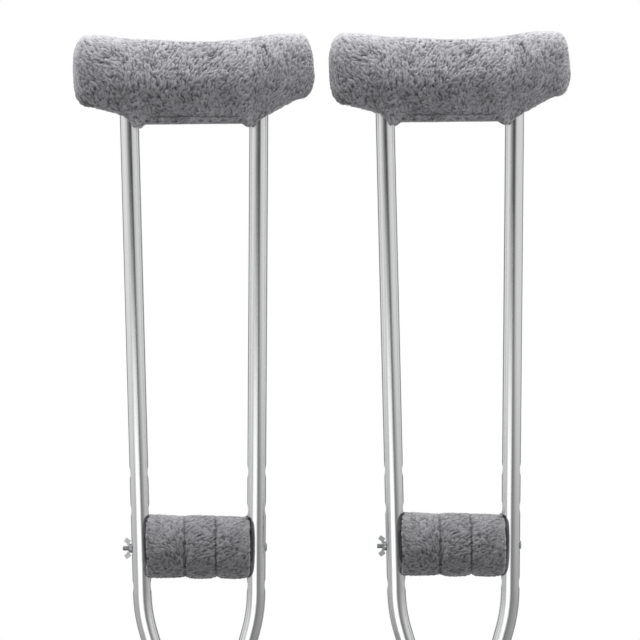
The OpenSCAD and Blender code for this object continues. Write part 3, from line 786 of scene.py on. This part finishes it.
def pad_cover():
    """The underarm pad's plush cover: blown up, dented, and coated with pile."""
    rows, columns = PAD_GRID
    coarse = pad_grid(*PAD_CLOTH_GRID, PAD_SLIM)
    low = coarse[..., 2] < SADDLE_Z - PAD_HELD_BELOW
    move = inflated(coarse, low, PAD_SWELL)
    points = pad_grid(rows, columns, PAD_SLIM) + spread_to(move, rows, columns, False)
    # Soft dents and drag lines of cloth that is pulled round the pad
    normal = grid_frame(points)[2]
    dents = lattice_noise(points, 0.035, SEED + 5) + 0.4 * lattice_noise(points, 0.016, SEED + 6)
    points = points + normal * ((dents - 0.7) * 2.2 * MM)[..., None]
    # The pile lies down and outward, swirling here and there
    front = np.where(points[..., 1] < 0, 1.0, -1.0)
    sideways = np.clip(points[..., 0] / (70 * MM), -1, 1)
    flow = front * (math.pi / 2 - 0.75 * sideways)
    flow = flow + smooth_noise_turn(points, 0.030, SEED + 8, 0.9)
    flow = flow + smooth_noise_turn(points, 0.009, SEED + 9, 0.45)
    from_end = np.minimum(np.arange(rows), np.arange(rows)[::-1])
    fade = np.clip(from_end / 9.0, 0.15, 1)[:, None] * np.ones(columns)
    moved, pile = add_pile(points, flow, fade=fade)
    poles = [moved[0].mean(0), moved[-1].mean(0)]
    return grid_mesh("underarm_cover_plush", moved, pile, poles=poles)


# ---------- handgrip wrap ----------

SEAMS = (-13.2 * MM, 17.7 * MM)


def wrap_grid(outer_rows, columns, slim=0.0):
    """The wrap as a ring: its outer face from end to end, then its inner face back."""
    inner_r = FOAM_R + 0.3 * MM
    half = WRAP_HALF + 0.2 * MM
    bend = 2.6 * MM
    x = np.concatenate([-half + bend - bend * np.sin(np.linspace(math.pi / 2, 0.1, 6)),
                        np.linspace(-half + bend, half - bend, outer_rows - 12),
                        half - bend + bend * np.sin(np.linspace(0.1, math.pi / 2, 6))])
    angle = np.arange(columns) * 2 * math.pi / columns
    y, z = -np.sin(angle), np.cos(angle)
    points = []
    cells = np.array([-half, SEAMS[0], SEAMS[1], half])
    for place in x:
        cell = min(np.searchsorted(cells[1:-1], place, side="right"), 2)
        span = (cells[cell + 1] - cells[cell]) / 2
        along = (place - (cells[cell + 1] + cells[cell]) / 2) / span
        puff = (1 - along ** 4) * (0.6 if cell == 0 else 2.0) * MM
        sag = np.clip(-z, 0, 1) ** 1.5
        lift = (2.9 * MM - 0.028 * place) * np.clip(z, 0, 1) ** 1.5
        seam = min(abs(place - s) for s in SEAMS)
        pinch = 1.7 * MM * math.exp(-((seam / (1.2 * MM)) ** 2))
        pinch = pinch * np.clip(1.25 - 1.1 * z ** 2, 0.3, 1)
        past = max(0.0, abs(place) - (half - bend)) / bend
        curl = bend * (1 - math.sqrt(max(0.0, 1 - past ** 2)))
        radius = WRAP_R - 0.6 * MM - slim + puff * sag + lift - pinch - curl
        room = np.clip((TUBE_R + 1.5 * MM - np.abs(radius * y)) / (4 * MM), 0, 1)
        room = room * room * (3 - 2 * room)
        limit = half - 3.4 * MM * room
        points.append(np.stack([np.clip(np.full(columns, place), -limit, limit), radius * y,
                                GRIP_Z + radius * z], -1))
    inner = max(8, outer_rows // 8)
    ends = points[-1], points[0]
    steps = np.linspace(0, 1, 5)[1:]
    for t in steps:
        radius = (1 - t) * np.hypot(ends[0][:, 1], ends[0][:, 2] - GRIP_Z) + t * inner_r
        back = ends[0][:, 0] - 4.0 * MM * t ** 0.5
        points.append(np.stack([back, radius * y, GRIP_Z + radius * z], -1))
    for place in np.linspace(half - 7.6 * MM, -half + 7.6 * MM, inner)[1:-1]:
        points.append(np.stack([np.full(columns, place), inner_r * y, GRIP_Z + inner_r * z], -1))
    for t in steps[::-1]:
        radius = (1 - t) * np.hypot(ends[1][:, 1], ends[1][:, 2] - GRIP_Z) + t * inner_r
        back = ends[1][:, 0] + 4.0 * MM * t ** 0.5
        points.append(np.stack([back, radius * y, GRIP_Z + radius * z], -1))
    return np.array(points), outer_rows


WRAP_GRID = (132, 236)
WRAP_CLOTH_GRID = (34, 40)
WRAP_SLIM = 1.0 * MM
WRAP_SWELL = 2.0 * MM
SEAM_HELD = 1.8 * MM


def grip_wrap():
    """The handgrip's plush wrap: blown up between its seams, and coated with pile."""
    rows, columns = WRAP_GRID
    points, outer = wrap_grid(rows, columns, WRAP_SLIM)
    coarse, coarse_outer = wrap_grid(*WRAP_CLOTH_GRID, WRAP_SLIM)
    x = coarse[..., 0]
    near = np.minimum(np.abs(x - SEAMS[0]), np.abs(x - SEAMS[1])) < SEAM_HELD
    near[coarse_outer:] = True
    near[:2] = True
    near[coarse_outer - 2:coarse_outer] = True
    move = inflated(coarse, near, WRAP_SWELL, wrap_rows=True, pressure=4.0)
    points[:outer] += spread_to(move[:coarse_outer], outer, columns, False)
    dents = lattice_noise(points, 0.018, SEED + 21)
    normal = grid_frame(points, True)[2]
    fade = np.zeros(points.shape[:2])
    fade[:outer] = 1.0
    points = points + normal * (fade * (dents - 0.5) * 1.4 * MM)[..., None]
    front = np.where(points[..., 1] < 0, 1.0, -1.0)
    sideways = np.clip((points[..., 0] + 20 * MM) / (18 * MM), -1, 1)
    flow = front * (math.pi / 2 - 0.9 * sideways)
    flow = flow + smooth_noise_turn(points, 0.016, SEED + 28, 0.8)
    moved, pile = add_pile(points, flow, True, SEED + 20, fade=np.clip(fade + 0.25, 0, 1))
    # Painted shade along the seam creases: the pile's colour falls toward the dark root in a ragged
    # band at each seam.
    seam = np.minimum(np.abs(points[..., 0] - SEAMS[0]), np.abs(points[..., 0] - SEAMS[1]))
    ragged = lattice_noise(points, 0.004, SEED + 29)
    dark = np.exp(-((seam / (0.9 * MM)) ** 2)) * np.clip(0.35 + 0.9 * ragged, 0, 1)
    pile = np.where(fade > 0, pile * (1 - 0.85 * dark), pile * 0.6)
    return grid_mesh("grip_cover_plush", moved, pile, wrap_rows=True)


# ---------- closures ----------


def slab_grid(low, high, rows, columns, soft):
    """A flat piece with soft edges as a grid: sections across X, shrinking at its ends."""
    middle, half = (low + high) / 2, (high - low) / 2
    s = (np.arange(rows) + 0.5) / rows * 2 - 1
    x = half.x * s
    past = np.clip((np.abs(x) - (half.x - soft)) / soft, 0, 1)
    scale = np.sqrt(np.clip(1 - past ** 2, 0, 1)) * 0.999 + 0.001
    angle = np.arange(columns) * 2 * math.pi / columns

    def edge(v, power):
        return np.sign(v) * np.abs(v) ** power

    points = np.zeros((rows, columns, 3))
    points[..., 0] = x[:, None]
    points[..., 1] = middle.y - half.y * edge(np.sin(angle), 0.5) * (0.85 + 0.15 * scale[:, None])
    points[..., 2] = middle.z + half.z * edge(np.cos(angle), 0.5) * scale[:, None]
    return points


def pad_flap():
    """The flap that closes the cover underneath, its plush side out and its edges rolled, its colour
    dimmed as painted shade under the pad.
    """
    low = Vector((FLAP_LOW.x - AXIS_X["left"] - 0.5 * MM, -15.2 * MM, FLAP_LOW.z + 0.6 * MM))
    high = Vector((FLAP_HIGH.x - AXIS_X["left"] + 0.5 * MM, 15.2 * MM, FLAP_LOW.z + 9.5 * MM))
    points = slab_grid(low, high, 134, 96, 3 * MM)
    wave = (lattice_noise(points, 0.02, SEED + 31) - 0.5) * 2.0 * MM
    points[..., 1] += np.where(points[..., 1] < 0, -wave, wave)
    flow = np.where(points[..., 1] < 0, 0.3, math.pi - 0.3)
    flow = flow + smooth_noise_turn(points, 0.012, SEED + 32, 0.9)
    moved, pile = add_pile(points, flow, seed=SEED + 30, tall=1.3 * MM, lean=1.0 * MM)
    poles = [(low.x, 0, (low.z + high.z) / 2), (high.x, 0, (low.z + high.z) / 2)]
    # Painted shade: the flap's pile level is scaled by 0.8, darkening it for the shade under the pad.
    return grid_mesh("underarm_closure_flap", moved, pile * 0.8, poles=poles)


def grip_strip():
    """The hook tape that closes the wrap along its back, following the wrap's curve."""
    rows, columns = 92, 48
    half_x = (STRIP_HIGH.x - STRIP_LOW.x) / 2
    half_turn = math.asin(min(0.9, (STRIP_HIGH.z - STRIP_LOW.z) / 2 / WRAP_R))
    s = (np.arange(rows) + 0.5) / rows * 2 - 1
    angle = np.arange(columns) * 2 * math.pi / columns
    across = np.sign(np.cos(angle)) * np.abs(np.cos(angle)) ** 0.35 * half_turn
    thick = np.sign(np.sin(angle)) * np.abs(np.sin(angle)) ** 0.6 * 1.0 * MM
    ends = np.clip((1 - np.abs(s)) / 0.03, 0.05, 1) ** 0.5
    points = np.zeros((rows, columns, 3))
    radius = WRAP_R + 1.0 * MM + thick[None, :] * ends[:, None]
    points[..., 0] = (s * half_x)[:, None]
    points[..., 1] = radius * np.cos(across)[None, :]
    points[..., 2] = GRIP_Z + radius * np.sin(across)[None, :]
    ends_at = [(-half_x, WRAP_R + 1.0 * MM, GRIP_Z), (half_x, WRAP_R + 1.0 * MM, GRIP_Z)]
    return grid_mesh("grip_closure_tape", points, np.full(points.shape[:2], 0.5), poles=ends_at)


# ---------- bolt with a real thread ----------


def bolt_mesh():
    """The through bolt along X: a domed head at +X, a plain shank, and an M5 thread at -X."""
    pitch, major, minor = 0.8 * MM, 2.5 * MM, 2.02 * MM
    tail = BOLT_LOW.x - AXIS_X["left"]
    head = BOLT_HIGH.x - AXIS_X["left"] - 2.0 * MM
    thread_end = tail + 20 * MM
    sides, steps_per_turn = 32, 8
    step = pitch / steps_per_turn
    x = np.concatenate([
        np.arange(tail, thread_end, step), np.linspace(thread_end + 0.4 * MM, head, 12)])
    angle = np.arange(sides) * 2 * math.pi / sides
    rings = []

    def ring(at, radius):
        return np.stack([np.full(sides, at), radius * np.cos(angle), radius * np.sin(angle)], -1)

    for place in x:
        phase = (place - tail) / pitch - angle / (2 * math.pi)
        ridge = np.abs((phase % 1.0) * 2 - 1)
        depth = np.clip(ridge * 1.35 - 0.15, 0, 1)
        start = min(1.0, (place - tail) / (1.0 * MM)) * 0.5 * MM
        radius = np.minimum(minor + (major - minor) * depth, minor - 0.35 * MM + start + 0.4 * MM)
        if place > thread_end:
            radius = np.full(sides, major)
        rings.append(ring(place, radius))
    # The dome as (radius, rise in millimetres), then the hexagonal socket down into it
    head_r = 5.0 * MM
    rim_rise = 1.98
    hexagon = np.maximum(np.cos((angle % (math.pi / 3)) - math.pi / 6), 0.5)
    for r, out in ((head_r - 0.1 * MM, 0.0), (head_r, 0.15), (0.96 * head_r, 0.7),
                   (0.82 * head_r, 1.3), (0.62 * head_r, 1.75), (0.36 * head_r, 1.97),
                   (0.30 * head_r, rim_rise), (0.29 * head_r, 0.9), (0.27 * head_r, 0.85)):
        flat = np.full(sides, r)
        if out == rim_rise or (out < 1 and r < 0.3 * head_r):
            flat = r / hexagon * 0.9
        rings.append(ring(head + out * MM, flat))
    points = np.array(rings)
    points[..., 2] += GRIP_Z
    poles = [(tail, 0, GRIP_Z), (head + 0.85 * MM, 0, GRIP_Z)]
    level = np.zeros(points.shape[:2])
    return grid_mesh("grip_bolt_threaded", points[:, ::-1], level, poles=poles)


# ---------- the soft pieces and the bolt, on both crutches ----------

PIECES = [
    ("underarm_cover_plush", pad_cover, "pad_plush", ["underarm_cover", "underarm_cushion"], 0.8),
    ("grip_cover_plush", grip_wrap, "grip_plush", ["grip_cover"], 0.8),
    ("underarm_closure_flap", pad_flap, "pad_plush", ["underarm_cover_closure"], 0.4),
    ("grip_closure_tape", grip_strip, "hook_tape", ["grip_cover_closure"], None),
    ("grip_bolt_threaded", bolt_mesh, "zinc_steel", ["grip_bolt"], None),
]
for name, build, slot, stands_for, fill in PIECES:
    shape = build()
    shape.materials.append(MATERIALS[slot])
    for side in SIDES:
        piece = link(f"{side}_{name}", shape)
        piece.location.x = AXIS_X[side]
        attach(piece, side + "_frame")
        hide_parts(*[f"{side}_{node}" for node in stands_for])


bpy.context.scene.view_settings.view_transform = "Standard"
